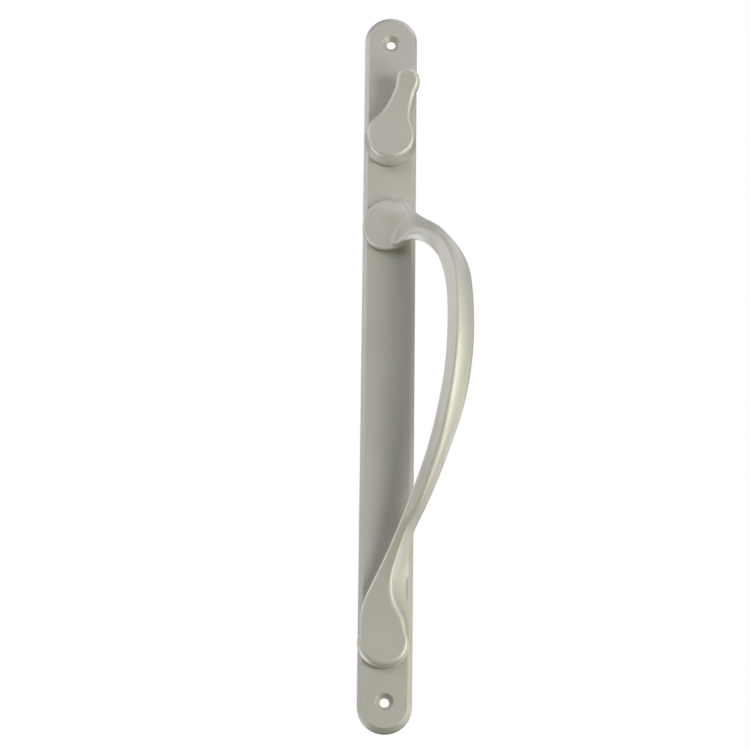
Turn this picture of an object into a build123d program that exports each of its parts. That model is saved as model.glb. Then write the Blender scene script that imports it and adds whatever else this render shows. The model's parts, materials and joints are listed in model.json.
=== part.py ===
from build123d import *
import math
import os

# ---------------------------------------------------------------------------
# Sliding patio door handle: inside trim with a thumb turn and a swept pull.
# Millimetres. +Z runs up the plate, +X to the right seen from the room, the
# room side faces -Y and the door side of the plate is the plane y = 0.
# Origin: midway between the two fixing holes, on the door side.
# "p" below is the distance in front of the door side, so y = -p.
# ---------------------------------------------------------------------------

# escutcheon plate
PLATE_W = 27.7
PLATE_L = 386.4
PLATE_T = 6.5
BEVEL_IN = 2.3          # width of the bevel seen from the front
BEVEL_DEEP = 2.0        # depth of the bevel
BACK_RIM = 2.4          # wall round the hollow back
FRONT_WALL = 2.5
FIX_SPACING = 355.6     # 14 in between the fixing holes
FIX_HOLE_R = 2.4
FIX_SINK_R = 4.6
FIX_WALL = 3.3

# pull handle
FOOT_X = -0.7
TOP_FOOT_Z = 73.2
LOW_FOOT_Z = -147.7
TOP_FOOT_R = 13.4
LOW_FOOT_R = 13.4
FOOT_P = 11.5           # front face of both feet
SPIGOT_R = 4.8
SPIGOT_END_P = 4.2
HANDLE_THREAD_R = 2.5
HANDLE_THREAD_P = 10.0

# thumb turn
TURN_X = 0.2
TURN_Z = 120.7
TURN_BASE_R = 13.5
TURN_FACE_R = 12.3
TURN_BASE_P = 6.7
TURN_FACE_P = 18.5
HUB_R = 5.0
HUB_FLATS = 8.4          # across the two flats of the drive end
GROOVE_R = 3.9
SLOT_T = 2.6
SLOT_W = 7.4
SLOT_END_P = 8.0
HUB_END_P = -5.0
PIN_P = -2.9
PIN_R = 1.0
BUSH_CLEAR = 0.08
BUSH_R = 6.5
BUSH_FLANGE_R = 9.0
KEEPER_P = (0.2, 1.2)
CAM_P = (1.5, 2.9)
CAM_R = 8.6
CAM_LUG_R = 10.6
CAM_LUG_HALF = 20.0     # degrees
STOP_R = 1.2
BALL_R = 0.95
BLADE_T = 2.4
BLADE_W = 7.0
BLADE_END_P = -42.0

os.makedirs("parts", exist_ok=True)


def front(p):
    """sketch plane parallel to the door, p in front of it, local x = X and local y = Z"""
    return Plane.XZ.offset(p)


def save(builder, name):
    builder.part.label = name
    export_step(builder.part, "parts/" + name + ".step")


# ---------------------------------------------------------------------------
# Sections of the grip. Every section is a four-cornered outline with rounded
# corners and slightly bulged sides: L is the inner front edge, R the ridge,
# Q the outer back edge and B the inner back edge.
# ---------------------------------------------------------------------------

# x, y, z of the middle; width of the front facet; depth of the outer face; turn of the facet;
# corner radii L R Q B; bulges of the sides L-R, R-Q, Q-B, B-L
GRIP = [
    (0.4, -8.1, 72.2, 23.1, 4.0, -8, (1.2, 1.8, 1.8, 1.5), (0.3, 0.2, 0.4, 0.2)),
    (7.3, -12.6, 70.4, 21.2, 5.4, -1.5, (1.4, 2.6, 2.6, 1.8), (0.5, 0.3, 0.4, 0.3)),
    (13.5, -17.7, 68.8, 15.1, 6.5, 2.5, (2.0, 3.0, 3.0, 2.6), (0.8, 0.4, 0.5, 0.4)),
    (18.8, -22.6, 65.9, 11.5, 7.0, 8.6, (2.4, 3.2, 3.2, 3.2), (0.8, 0.5, 0.6, 0.5)),
    (23.3, -27.3, 61.5, 10.3, 8.0, 20, (2.6, 3.2, 3.4, 3.6), (0.7, 0.6, 0.6, 0.5)),
    (28.3, -31.7, 54.8, 10.3, 9.4, 38, (2.7, 3.0, 3.6, 3.8), (0.5, 0.7, 0.7, 0.5)),
    (32.4, -35.2, 47.1, 10.4, 11.8, 48, (2.7, 2.9, 3.8, 4.0), (0.4, 0.8, 0.8, 0.5)),
    (35.4, -37.9, 37.5, 10.0, 13.3, 53, (2.6, 2.8, 4.0, 4.0), (0.3, 0.9, 0.8, 0.5)),
    (36.7, -39.3, 25.9, 9.6, 13.6, 55, (2.6, 2.8, 4.0, 4.0), (0.3, 0.9, 0.8, 0.5)),
    (37.1, -39.7, 11.9, 9.6, 13.8, 55, (2.5, 2.8, 4.0, 4.0), (0.3, 0.9, 0.8, 0.5)),
    (36.6, -39.2, -2.8, 9.5, 13.7, 55, (2.4, 2.7, 4.0, 4.0), (0.3, 0.9, 0.8, 0.5)),
    (34.9, -37.7, -18.5, 9.2, 13.5, 54, (2.2, 2.6, 3.9, 3.9), (0.3, 0.8, 0.8, 0.5)),
    (32.0, -35.2, -33.2, 8.9, 12.9, 52, (2.0, 2.5, 3.7, 3.7), (0.25, 0.7, 0.7, 0.4)),
    (27.9, -31.3, -47.7, 8.2, 11.4, 49, (1.7, 2.3, 3.4, 3.4), (0.2, 0.6, 0.6, 0.4)),
    (22.8, -26.7, -62.3, 7.6, 10.2, 45, (1.5, 2.0, 3.0, 3.0), (0.15, 0.5, 0.5, 0.3)),
    (16.8, -21.5, -76.6, 7.2, 9.0, 39, (1.5, 1.7, 2.6, 2.6), (0.1, 0.3, 0.4, 0.2)),
]

# level cuts through the foot end: z, then (x, p) of L R Q B, radii and bulges
ROOT = [
    (-91.4, (4.8, 18.9), (10.4, 20.4), (15.8, 12.6), (9.0, 10.0), (1.5, 1.8, 2.4, 2.0), (0.1, 0.1, 0.3, 0.1)),
    (-104.2, (-1.2, 15.3), (5.9, 16.0), (13.4, 7.6), (4.0, 7.2), (1.5, 2.0, 2.0, 1.4), (0.0, -0.6, 0.1, 0.1)),
    (-115.2, (-5.9, 13.1), (2.7, 13.5), (15.6, 3.4), (-3.2, 3.2), (1.5, 3.0, 1.4, 1.0), (0.0, -0.9, 0.0, 0.0)),
    (-124.5, (-10.0, 12.1), (2.8, 12.5), (16.8, 3.0), (-9.6, 2.6), (1.5, 6.0, 1.2, 0.8), (0.0, -1.4, 0.0, 0.0)),
    (-131.0, (-12.2, 11.7), (5.4, 12.0), (16.6, 3.0), (-12.5, 2.4), (1.4, 7.0, 1.2, 0.7), (0.0, -1.0, 0.0, 0.0)),
    (-136.5, (-13.1, 11.6), (8.8, 11.7), (15.0, 2.8), (-13.5, 2.4), (1.2, 3.5, 1.1, 0.6), (0.0, -0.5, 0.0, 0.2)),
    (-141.5, (-12.6, 11.5), (10.1, 11.5), (13.0, 2.6), (-13.9, 2.4), (1.0, 1.2, 1.0, 0.6), (0.0, 0.0, 0.0, 0.4)),
    (-147.7, (-12.1, 11.5), (10.6, 11.5), (12.6, 2.4), (-14.0, 2.4), (0.9, 0.9, 0.8, 0.5), (0.0, 0.3, 0.0, 0.5)),
]


def unit(v):
    n = math.sqrt(sum(c * c for c in v))
    return tuple(c / n for c in v)


def facet_corners(width, depth, turn):
    c, s = math.cos(math.radians(turn)), math.sin(math.radians(turn))
    a, b = width / 2, depth / 2
    return [(i * a * c - j * b * s, i * a * s + j * b * c) for i, j in ((-1, 1), (1, 1), (1, -1), (-1, -1))]


def section_curves(corners, radii, bulges):
    """cubic curves round the outline: corner, side, corner, side ..."""
    n = 4
    starts, ends, leave, arrive = [], [], [None] * n, [None] * n
    for i in range(n):
        p, a, b = corners[i], corners[i - 1], corners[(i + 1) % n]
        u = unit((a[0] - p[0], a[1] - p[1]))
        v = unit((b[0] - p[0], b[1] - p[1]))
        ang = math.acos(max(-1.0, min(1.0, u[0] * v[0] + u[1] * v[1])))
        d = radii[i] / math.tan(ang / 2)
        d = min(d, 0.45 * math.dist(p, a), 0.45 * math.dist(p, b))
        starts.append((p[0] + u[0] * d, p[1] + u[1] * d))
        ends.append((p[0] + v[0] * d, p[1] + v[1] * d))
    for i in range(n):
        a, b = ends[i], starts[(i + 1) % n]
        length = math.dist(a, b)
        side = ((b[0] - a[0]) / length, (b[1] - a[1]) / length)
        out = (-side[1], side[0])
        sine = max(-0.8, min(0.8, 4 * bulges[i] / length))
        cosine = math.sqrt(1 - sine * sine)
        leave[i] = (side[0] * cosine + out[0] * sine, side[1] * cosine + out[1] * sine)
        arrive[(i + 1) % n] = (side[0] * cosine - out[0] * sine, side[1] * cosine - out[1] * sine)
    curves = []
    for i in range(n):
        a, b, ta, tb = starts[i], ends[i], arrive[i], leave[i]
        turn = math.acos(max(-1.0, min(1.0, ta[0] * tb[0] + ta[1] * tb[1])))
        h = math.dist(a, b) / (3 * math.cos(turn / 4) ** 2)
        curves.append((a, (a[0] + ta[0] * h, a[1] + ta[1] * h), (b[0] - tb[0] * h, b[1] - tb[1] * h), b))
        c, d = ends[i], starts[(i + 1) % n]
        tc, td = leave[i], arrive[(i + 1) % n]
        h = math.dist(c, d) / 3
        curves.append((c, (c[0] + tc[0] * h, c[1] + tc[1] * h), (d[0] - td[0] * h, d[1] - td[1] * h), d))
    return curves


def section_face(plane, corners, radii, bulges):
    """flat face of one section, with the eight edges of its outline kept apart"""
    edges = []
    for curve in section_curves(corners, radii, bulges):
        edges.append(Edge.make_bezier(*[plane.from_local_coords(Vector(u, v, 0)) for u, v in curve]))
    return Face(Wire(edges))


def grip_sections():
    """faces across the handle, from inside the top foot to inside the bottom foot"""
    mids = [Vector(*g[:3]) for g in GRIP] + [Vector(11.0, -15.8, -91.4)]
    found = []
    for i, g in enumerate(GRIP):
        if i == 0:
            along = Vector(0.80, -0.60, 0.0)
        else:
            before, after = mids[i] - mids[i - 1], mids[i + 1] - mids[i]
            along = before * (after.length / before.length) + after * (before.length / after.length)
        along = along.normalized()
        ahead = Vector(0, -1, 0)
        ahead = (ahead - along * ahead.dot(along)).normalized()
        right = ahead.cross(along)
        found.append(section_face(Plane(origin=mids[i], x_dir=right, z_dir=along), facet_corners(g[3], g[4], g[5]), g[6], g[7]))
    for z, l, r, q, b, radii, bulges in ROOT:
        found.append(section_face(Plane(origin=(0, 0, z), x_dir=(1, 0, 0), z_dir=(0, 0, -1)), [l, r, q, b], radii, bulges))
    return found


# ---------------------------------------------------------------------------
# 1  escutcheon plate: one casting, round ends, bevelled front edge, hollow back
# ---------------------------------------------------------------------------
RIBS = (149.0, 98.0, 48.0, 24.0, 0.0, -24.0, -48.0, -72.0, -96.0, -120.0)
RIB_T = 1.8
STOP_ANGLES = (-(CAM_LUG_HALF + 0.5 + 6.82), 90 + CAM_LUG_HALF + 0.5 + 6.82)
STOPS = [
    (TURN_X - 10.1 * math.sin(math.radians(a)), TURN_Z - 10.1 * math.cos(math.radians(a))) for a in STOP_ANGLES
]
KEEPER_SCREWS = ((-7.4, 137.6), (7.6, 106.1))
DETENT_TOP_Z = 139.1

with BuildPart() as escutcheon_plate:
    with BuildSketch(front(0)):
        SlotOverall(PLATE_L, PLATE_W, rotation=90)
    extrude(amount=PLATE_T - BEVEL_DEEP)
    with BuildSketch(front(PLATE_T - BEVEL_DEEP)):
        SlotOverall(PLATE_L, PLATE_W, rotation=90)
    with BuildSketch(front(PLATE_T)):
        SlotOverall(PLATE_L - 2 * BEVEL_IN, PLATE_W - 2 * BEVEL_IN, rotation=90)
    loft(ruled=True)
    rims = edges().filter_by(lambda e: abs(e.center().Y + PLATE_T) < 0.01)
    fillet(rims, 0.5)
    shoulders = edges().filter_by(lambda e: abs(e.bounding_box().min.Y + PLATE_T - BEVEL_DEEP) < 0.01 and abs(e.bounding_box().max.Y + PLATE_T - BEVEL_DEEP) < 0.01)
    fillet(shoulders, 0.9)
    # hollow back, three depths
    with BuildSketch(front(0)):
        SlotOverall(PLATE_L - 2 * BACK_RIM, PLATE_W - 2 * BACK_RIM, rotation=90)
        with Locations((0, FIX_SPACING / 2), (0, -FIX_SPACING / 2)):
            Circle(6.8, mode=Mode.SUBTRACT)
        with Locations(*[(0, z) for z in RIBS]):
            Rectangle(PLATE_W, RIB_T, mode=Mode.SUBTRACT)
    extrude(amount=KEEPER_P[1], mode=Mode.SUBTRACT)
    with BuildSketch(front(KEEPER_P[1])):
        SlotOverall(PLATE_L - 2 * BACK_RIM, PLATE_W - 2 * BACK_RIM, rotation=90)
        with Locations((0, FIX_SPACING / 2), (0, -FIX_SPACING / 2)):
            Circle(6.8, mode=Mode.SUBTRACT)
        with Locations(*[(0, z) for z in RIBS]):
            Rectangle(PLATE_W, RIB_T, mode=Mode.SUBTRACT)
        with Locations(*STOPS):
            Circle(STOP_R, mode=Mode.SUBTRACT)
        with Locations((-8.6, KEEPER_SCREWS[0][1]), (8.8, KEEPER_SCREWS[1][1])):
            Rectangle(8.0, 6.4, mode=Mode.SUBTRACT)
        with Locations((TURN_X, (129.6 + 142.1) / 2)):
            Rectangle(7.0, 142.1 - 129.6, mode=Mode.SUBTRACT)
    extrude(amount=3.4 - KEEPER_P[1], mode=Mode.SUBTRACT)
    with BuildSketch(front(3.4)):
        SlotOverall(PLATE_L - 2 * BACK_RIM, PLATE_W - 2 * BACK_RIM, rotation=90)
        with Locations((0, FIX_SPACING / 2), (0, -FIX_SPACING / 2)):
            Circle(6.8, mode=Mode.SUBTRACT)
        with Locations(*[(0, z) for z in RIBS]):
            Rectangle(PLATE_W, RIB_T, mode=Mode.SUBTRACT)
        with Locations(*STOPS):
            Circle(STOP_R, mode=Mode.SUBTRACT)
        with Locations((-8.6, KEEPER_SCREWS[0][1]), (8.8, KEEPER_SCREWS[1][1])):
            Rectangle(8.0, 6.4, mode=Mode.SUBTRACT)
        with Locations((TURN_X, (129.6 + 142.1) / 2)):
            Rectangle(7.0, 142.1 - 129.6, mode=Mode.SUBTRACT)
        with Locations((TURN_X, TURN_Z)):
            Circle(10.9, mode=Mode.SUBTRACT)
    extrude(amount=PLATE_T - FRONT_WALL - 3.4, mode=Mode.SUBTRACT)
    # channel of the detent, open behind and closed by the keeper
    with BuildSketch(front(KEEPER_P[1])):
        with Locations((TURN_X, (129.1 + DETENT_TOP_Z) / 2)):
            Rectangle(2.1, DETENT_TOP_Z - 129.1)
    extrude(amount=2.1, mode=Mode.SUBTRACT)
    # blind holes of the keeper screws
    with BuildSketch(front(KEEPER_P[1])):
        with Locations(*KEEPER_SCREWS):
            Circle(1.27)
    extrude(amount=3.6, mode=Mode.SUBTRACT)
    # fixing holes: recess behind, short land, countersink in front
    with BuildSketch(front(0)):
        with Locations((0, FIX_SPACING / 2), (0, -FIX_SPACING / 2)):
            Circle(4.7)
    extrude(amount=PLATE_T - FIX_WALL, mode=Mode.SUBTRACT)
    with Locations(front(PLATE_T)):
        with Locations((0, FIX_SPACING / 2), (0, -FIX_SPACING / 2)):
            CounterSinkHole(radius=FIX_HOLE_R, counter_sink_radius=FIX_SINK_R, depth=FIX_WALL + 1, counter_sink_angle=90)
    # seats of the pull handle's spigots
    with Locations(front(PLATE_T)):
        with Locations((FOOT_X, TOP_FOOT_Z), (FOOT_X, LOW_FOOT_Z)):
            Hole(radius=SPIGOT_R + 0.2, depth=PLATE_T + 1)
    # bore of the thumb turn's bush, with the seat of its flange
    with Locations(front(PLATE_T)):
        with Locations((TURN_X, TURN_Z)):
            CounterBoreHole(radius=BUSH_R + 0.05, counter_bore_radius=BUSH_FLANGE_R + 0.2, counter_bore_depth=0.9, depth=PLATE_T + 1)
save(escutcheon_plate, "escutcheon_plate")

# ---------------------------------------------------------------------------
# 2  pull handle: one casting, two round feet and the swept grip between them
# ---------------------------------------------------------------------------
SECTIONS = grip_sections()

with BuildPart() as pull_handle:
    with BuildSketch(front(4.0)):
        with Locations((FOOT_X, TOP_FOOT_Z)):
            Circle(TOP_FOOT_R)
    extrude(amount=FOOT_P - 4.0)
    fillet(edges().sort_by(Axis.Y)[0], 0.6)
    with BuildSketch(front(4.0)):
        with Locations((FOOT_X, LOW_FOOT_Z)):
            Circle(LOW_FOOT_R)
    extrude(amount=FOOT_P - 0.07 - 4.0)
    low_rim = edges().filter_by(lambda e: e.center().Z < 0).sort_by(Axis.Y)[0]
    chamfer(low_rim, 1.9)
    loft(sections=SECTIONS)
    split(bisect_by=Plane(origin=(0, -PLATE_T, 0), z_dir=(0, -1, 0)), keep=Keep.TOP)
    with BuildSketch(front(SPIGOT_END_P)):
        with Locations((FOOT_X, TOP_FOOT_Z), (FOOT_X, LOW_FOOT_Z)):
            Circle(SPIGOT_R)
    extrude(amount=PLATE_T - SPIGOT_END_P + 0.5)
    with BuildSketch(front(SPIGOT_END_P)):
        with Locations((FOOT_X, TOP_FOOT_Z), (FOOT_X, LOW_FOOT_Z)):
            Circle(HANDLE_THREAD_R + 0.02)
    extrude(amount=HANDLE_THREAD_P - SPIGOT_END_P, mode=Mode.SUBTRACT)
save(pull_handle, "pull_handle")

# ---------------------------------------------------------------------------
# 3  thumb turn: one casting, round base, lever that curves out of it, hub behind
# ---------------------------------------------------------------------------
# outline of the lever seen from the room (x, z), up the left side, round the tip, down the right side
LEVER_LEFT = [(-11.8, 120.7), (-11.8, 124.5), (-10.9, 127.9), (-8.0, 131.1), (-4.6, 134.8), (-2.3, 138.1), (-0.4, 141.5), (1.6, 145.7), (2.8, 148.9), (3.2, 151.6)]
LEVER_TIP = [(3.2, 151.6), (3.8, 154.6), (5.5, 156.6), (8.3, 157.3), (11.2, 156.9), (13.7, 155.0), (15.0, 151.6)]
LEVER_RIGHT = [(15.0, 151.6), (14.6, 149.2), (13.3, 146.1), (12.1, 142.1), (11.1, 137.8), (10.6, 133.2), (10.8, 128.1), (11.5, 124.4), (12.1, 120.6)]
# the lever from the side (p, z): front face, then its underside
LEVER_FRONT = [(TURN_FACE_P, 132.1), (19.0, 138.6), (20.2, 146.1), (22.0, 153.6), (24.2, 160.1)]
LEVER_UNDER = [(17.8, 160.1), (16.6, 153.1), (13.8, 145.1), (10.6, 138.1), (7.4, 132.4), (6.7, 131.7)]

with BuildPart() as thumb_turn:
    with BuildSketch(front(6.0)):
        with BuildLine():
            Spline(*LEVER_LEFT, tangents=((0, 1), (0.1, 1)))
            Spline(*LEVER_TIP, tangents=((0.1, 1), (-0.1, -1)))
            Spline(*LEVER_RIGHT, tangents=((-0.1, -1), (0.1, -1)))
            Line((12.1, 120.6), (9.0, 113.1))
            Line((9.0, 113.1), (-8.5, 113.1))
            Line((-8.5, 113.1), (-11.8, 120.7))
        make_face()
    extrude(amount=20.0)
    with BuildSketch(Plane.YZ):
        with BuildLine():
            Line((-6.7, 108.0), (-TURN_FACE_P, 108.0))
            Line((-TURN_FACE_P, 108.0), (-TURN_FACE_P, 132.1))
            Spline(*[(-p, z) for p, z in LEVER_FRONT], tangents=((0, 1), (-0.36, 1)))
            Line((-24.2, 160.1), (-17.8, 160.1))
            Spline(*[(-p, z) for p, z in LEVER_UNDER], tangents=((0.1, -1), (1, -1)))
            Line((-6.7, 131.7), (-6.7, 108.0))
        make_face()
    extrude(amount=25.0, both=True, mode=Mode.INTERSECT)
    with BuildSketch(front(TURN_BASE_P)):
        with Locations((TURN_X, TURN_Z)):
            Circle(TURN_BASE_R)
    with BuildSketch(front(TURN_FACE_P)):
        with Locations((TURN_X, TURN_Z)):
            Circle(TURN_FACE_R)
    loft(ruled=True)
    # hollow round the hub
    with BuildSketch(front(TURN_BASE_P - 0.5)):
        with Locations((TURN_X, TURN_Z)):
            Circle(10.8)
            Circle(6.5, mode=Mode.SUBTRACT)
    extrude(amount=13.5 - TURN_BASE_P + 0.5, mode=Mode.SUBTRACT)
    # shoulder that runs on the bush, journal and drive end
    with BuildSketch(front(TURN_BASE_P - 0.08)):
        with Locations((TURN_X, TURN_Z)):
            Circle(6.5)
    extrude(amount=1.0)
    with BuildSketch(front(3.35)):
        with Locations((TURN_X, TURN_Z)):
            Circle(HUB_R)
    extrude(amount=5.0)
    with BuildSketch(front(3.35)):
        with Locations((TURN_X, TURN_Z)):
            Circle(HUB_R)
            Rectangle(HUB_FLATS, 12.0, mode=Mode.INTERSECT)
    extrude(amount=HUB_END_P - 3.35)
    # groove of the clip
    with BuildSketch(front(-0.62)):
        with Locations((TURN_X, TURN_Z)):
            Circle(HUB_R + 1.0)
            Circle(GROOVE_R, mode=Mode.SUBTRACT)
    extrude(amount=0.74, mode=Mode.SUBTRACT)
    # slot of the tailpiece and its pin hole
    with BuildSketch(front(HUB_END_P)):
        with Locations((TURN_X, TURN_Z)):
            Rectangle(SLOT_T, SLOT_W)
    extrude(amount=SLOT_END_P - HUB_END_P, mode=Mode.SUBTRACT)
    with BuildSketch(Plane.YZ.offset(TURN_X)):
        with Locations((-PIN_P, TURN_Z)):
            Circle(PIN_R + 0.02)
    extrude(amount=8.0, both=True, mode=Mode.SUBTRACT)
save(thumb_turn, "thumb_turn")

# ---------------------------------------------------------------------------
# 4  flanged bush that the thumb turn runs in
# ---------------------------------------------------------------------------
with BuildPart() as hub_bushing:
    with BuildSketch(front(3.4)):
        with Locations((TURN_X, TURN_Z)):
            Circle(BUSH_R)
    extrude(amount=2.2)
    with BuildSketch(front(5.6)):
        with Locations((TURN_X, TURN_Z)):
            Circle(BUSH_FLANGE_R)
    extrude(amount=1.0)
    with BuildSketch(front(3.4)):
        with Locations((TURN_X, TURN_Z)):
            Circle(HUB_R + BUSH_CLEAR)
    extrude(amount=3.2, mode=Mode.SUBTRACT)
save(hub_bushing, "hub_bushing")

# ---------------------------------------------------------------------------
# 5  conical spring washer between the plate and the index cam
# ---------------------------------------------------------------------------
with BuildPart() as spring_washer:
    with BuildSketch(Plane.YZ.offset(TURN_X)):
        with BuildLine():
            Polyline((-2.95, TURN_Z + 5.3), (-3.25, TURN_Z + 5.3), (-3.4, TURN_Z + 8.4), (-3.1, TURN_Z + 8.4), close=True)
        make_face()
    revolve(axis=Axis((TURN_X, 0, TURN_Z), (0, 1, 0)), revolution_arc=360)
save(spring_washer, "spring_washer")

# ---------------------------------------------------------------------------
# 6  index cam: keyed on the hub, one stop lug, two notches for the ball
# ---------------------------------------------------------------------------
with BuildPart() as index_cam:
    with BuildSketch(front(CAM_P[0])):
        with Locations((TURN_X, TURN_Z)):
            Circle(CAM_R)
        with BuildLine():
            half = math.radians(CAM_LUG_HALF)
            left = (TURN_X - CAM_LUG_R * math.sin(half), TURN_Z - CAM_LUG_R * math.cos(half))
            right = (TURN_X + CAM_LUG_R * math.sin(half), TURN_Z - CAM_LUG_R * math.cos(half))
            Line((TURN_X, TURN_Z), left)
            ThreePointArc(left, (TURN_X, TURN_Z - CAM_LUG_R), right)
            Line(right, (TURN_X, TURN_Z))
        make_face()
        with Locations((TURN_X, TURN_Z + CAM_R + 0.45), (TURN_X - CAM_R - 0.45, TURN_Z)):
            Circle(1.0, mode=Mode.SUBTRACT)
    extrude(amount=CAM_P[1] - CAM_P[0])
    with BuildSketch(front(CAM_P[0])):
        with Locations((TURN_X, TURN_Z)):
            Circle(HUB_R + 0.04)
            Rectangle(HUB_FLATS + 0.08, 12.0, mode=Mode.INTERSECT)
    extrude(amount=CAM_P[1] - CAM_P[0], mode=Mode.SUBTRACT)
save(index_cam, "index_cam")

# ---------------------------------------------------------------------------
# 7, 8  detent ball and its spring, in the channel above the hub
# ---------------------------------------------------------------------------
BALL_Z = TURN_Z + CAM_R + BALL_R + 0.05
with BuildPart() as detent_ball:
    with Locations((TURN_X, -2.25, BALL_Z)):
        Sphere(BALL_R)
save(detent_ball, "detent_ball")

SPRING_LOW_Z = BALL_Z + BALL_R + 0.2
SPRING_HIGH_Z = DETENT_TOP_Z - 0.2
with BuildPart() as detent_spring:
    with BuildLine() as coil:
        Helix(pitch=(SPRING_HIGH_Z - SPRING_LOW_Z) / 9, height=SPRING_HIGH_Z - SPRING_LOW_Z, radius=0.74, center=(TURN_X, -2.25, SPRING_LOW_Z))
    with BuildSketch(Plane(origin=coil.line @ 0, z_dir=coil.line % 0)):
        Circle(0.15)
    sweep(is_frenet=True)
save(detent_spring, "detent_spring")

# ---------------------------------------------------------------------------
# 9  keeper: steel plate behind the hub, closes the detent channel
# ---------------------------------------------------------------------------
KEEPER_T = KEEPER_P[1] - KEEPER_P[0]
with BuildPart() as hub_keeper:
    with BuildSketch(front(KEEPER_P[0])):
        with Locations((0, 122.6)):
            RectangleRounded(20.8, 41.0, 4.0)
        with Locations((TURN_X, TURN_Z)):
            Circle(5.4, mode=Mode.SUBTRACT)
        with Locations(*KEEPER_SCREWS):
            Circle(1.4, mode=Mode.SUBTRACT)
    extrude(amount=KEEPER_T)
    for sx, sz in KEEPER_SCREWS:
        with Locations(Plane(origin=(sx, -KEEPER_P[0], sz), x_dir=(1, 0, 0), z_dir=(0, -1, 0))):
            Cone(bottom_radius=2.4, top_radius=1.4, height=0.95, align=(Align.CENTER, Align.CENTER, Align.MIN), mode=Mode.SUBTRACT)
save(hub_keeper, "hub_keeper")

# ---------------------------------------------------------------------------
# 10, 11  countersunk screws of the keeper
# ---------------------------------------------------------------------------
for name, (sx, sz) in (("upper_keeper_screw", KEEPER_SCREWS[0]), ("lower_keeper_screw", KEEPER_SCREWS[1])):
    with BuildPart() as keeper_screw:
        with BuildSketch(Plane.YZ.offset(sx)):
            with BuildLine():
                Polyline(
                    (-KEEPER_P[0], sz), (-KEEPER_P[0], sz + 2.15), (-KEEPER_P[0] - 0.1, sz + 2.15), (-KEEPER_P[0] - 0.95, sz + 1.25),
                    (-4.3, sz + 1.25), (-4.6, sz + 0.95), (-4.6, sz), close=True,
                )
            make_face()
        revolve(axis=Axis((sx, 0, sz), (0, 1, 0)), revolution_arc=360)
        with BuildSketch(front(KEEPER_P[0])):
            with Locations((sx, sz)):
                Rectangle(0.5, 2.3)
                Rectangle(2.3, 0.5)
        extrude(amount=0.7, mode=Mode.SUBTRACT)
    save(keeper_screw, name)

# ---------------------------------------------------------------------------
# 12  E-clip in the groove of the hub
# ---------------------------------------------------------------------------
with BuildPart() as retaining_clip:
    with BuildSketch(front(-0.6)):
        with Locations((TURN_X, TURN_Z)):
            Circle(6.2)
            Circle(GROOVE_R + 0.05, mode=Mode.SUBTRACT)
        with Locations((TURN_X, TURN_Z + 5.0)):
            Rectangle(5.6, 8.0, mode=Mode.SUBTRACT)
        with Locations((TURN_X - 3.6, TURN_Z - 2.9), (TURN_X + 3.6, TURN_Z - 2.9)):
            Circle(1.0, mode=Mode.SUBTRACT)
    extrude(amount=0.7)
save(retaining_clip, "retaining_clip")

# ---------------------------------------------------------------------------
# 13, 14  tailpiece and the pin that holds it
# ---------------------------------------------------------------------------
with BuildPart() as tailpiece:
    with BuildSketch(front(BLADE_END_P)):
        with Locations((TURN_X, TURN_Z)):
            Rectangle(BLADE_T, BLADE_W)
    extrude(amount=7.5 - BLADE_END_P)
    chamfer(edges().filter_by(Axis.X).sort_by(Axis.Y)[-2:], 1.5)
    with BuildSketch(Plane.YZ.offset(TURN_X)):
        with Locations((-PIN_P, TURN_Z)):
            Circle(PIN_R + 0.05)
    extrude(amount=3.0, both=True, mode=Mode.SUBTRACT)
save(tailpiece, "tailpiece")

with BuildPart() as tailpiece_pin:
    with BuildSketch(Plane.YZ.offset(TURN_X - HUB_FLATS / 2)):
        with Locations((-PIN_P, TURN_Z)):
            Circle(PIN_R)
    extrude(amount=HUB_FLATS)
    chamfer(edges().filter_by(GeomType.CIRCLE), 0.2)
save(tailpiece_pin, "tailpiece_pin")

# ---------------------------------------------------------------------------
# 15 - 20  pan-head screws that hold the pull handle, with their washers
# ---------------------------------------------------------------------------
for prefix, foot_z, slit in (("upper", TOP_FOOT_Z, 35.0), ("lower", LOW_FOOT_Z, 160.0)):
    with BuildPart() as handle_screw:
        with BuildSketch(Plane.YZ.offset(FOOT_X)):
            with BuildLine():
                Line((-0.2, foot_z), (-0.2, foot_z + 3.2))
                ThreePointArc((-0.2, foot_z + 3.2), (-0.65, foot_z + 4.25), (-1.5, foot_z + 4.7))
                Line((-1.5, foot_z + 4.7), (-2.2, foot_z + 4.7))
                Line((-2.2, foot_z + 4.7), (-2.2, foot_z + 2.5))
                Line((-2.2, foot_z + 2.5), (-9.3, foot_z + 2.5))
                Line((-9.3, foot_z + 2.5), (-9.8, foot_z + 2.0))
                Line((-9.8, foot_z + 2.0), (-9.8, foot_z))
                Line((-9.8, foot_z), (-0.2, foot_z))
            make_face()
        revolve(axis=Axis((FOOT_X, 0, foot_z), (0, 1, 0)), revolution_arc=360)
        with BuildSketch(front(0.2)):
            with Locations((FOOT_X, foot_z)):
                Rectangle(1.1, 5.0)
                Rectangle(5.0, 1.1)
        extrude(amount=1.5, mode=Mode.SUBTRACT)
    save(handle_screw, prefix + "_handle_screw")
    with BuildPart() as lock_washer:
        with BuildSketch(front(2.2)):
            with Locations((FOOT_X, foot_z)):
                Circle(4.5)
                Circle(2.6, mode=Mode.SUBTRACT)
            with Locations(Location((FOOT_X + 3.5 * math.cos(math.radians(slit)), foot_z + 3.5 * math.sin(math.radians(slit))), slit + 22.0)):
                Rectangle(4.0, 0.5, mode=Mode.SUBTRACT)
        extrude(amount=1.0)
    save(lock_washer, prefix + "_lock_washer")
    with BuildPart() as flat_washer:
        with BuildSketch(front(3.2)):
            with Locations((FOOT_X, foot_z)):
                Circle(6.5)
                Circle(2.7, mode=Mode.SUBTRACT)
        extrude(amount=0.8)
    save(flat_washer, prefix + "_flat_washer")
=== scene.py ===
import json
import math

import bpy
import numpy as np
from mathutils import Matrix, Vector


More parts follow.
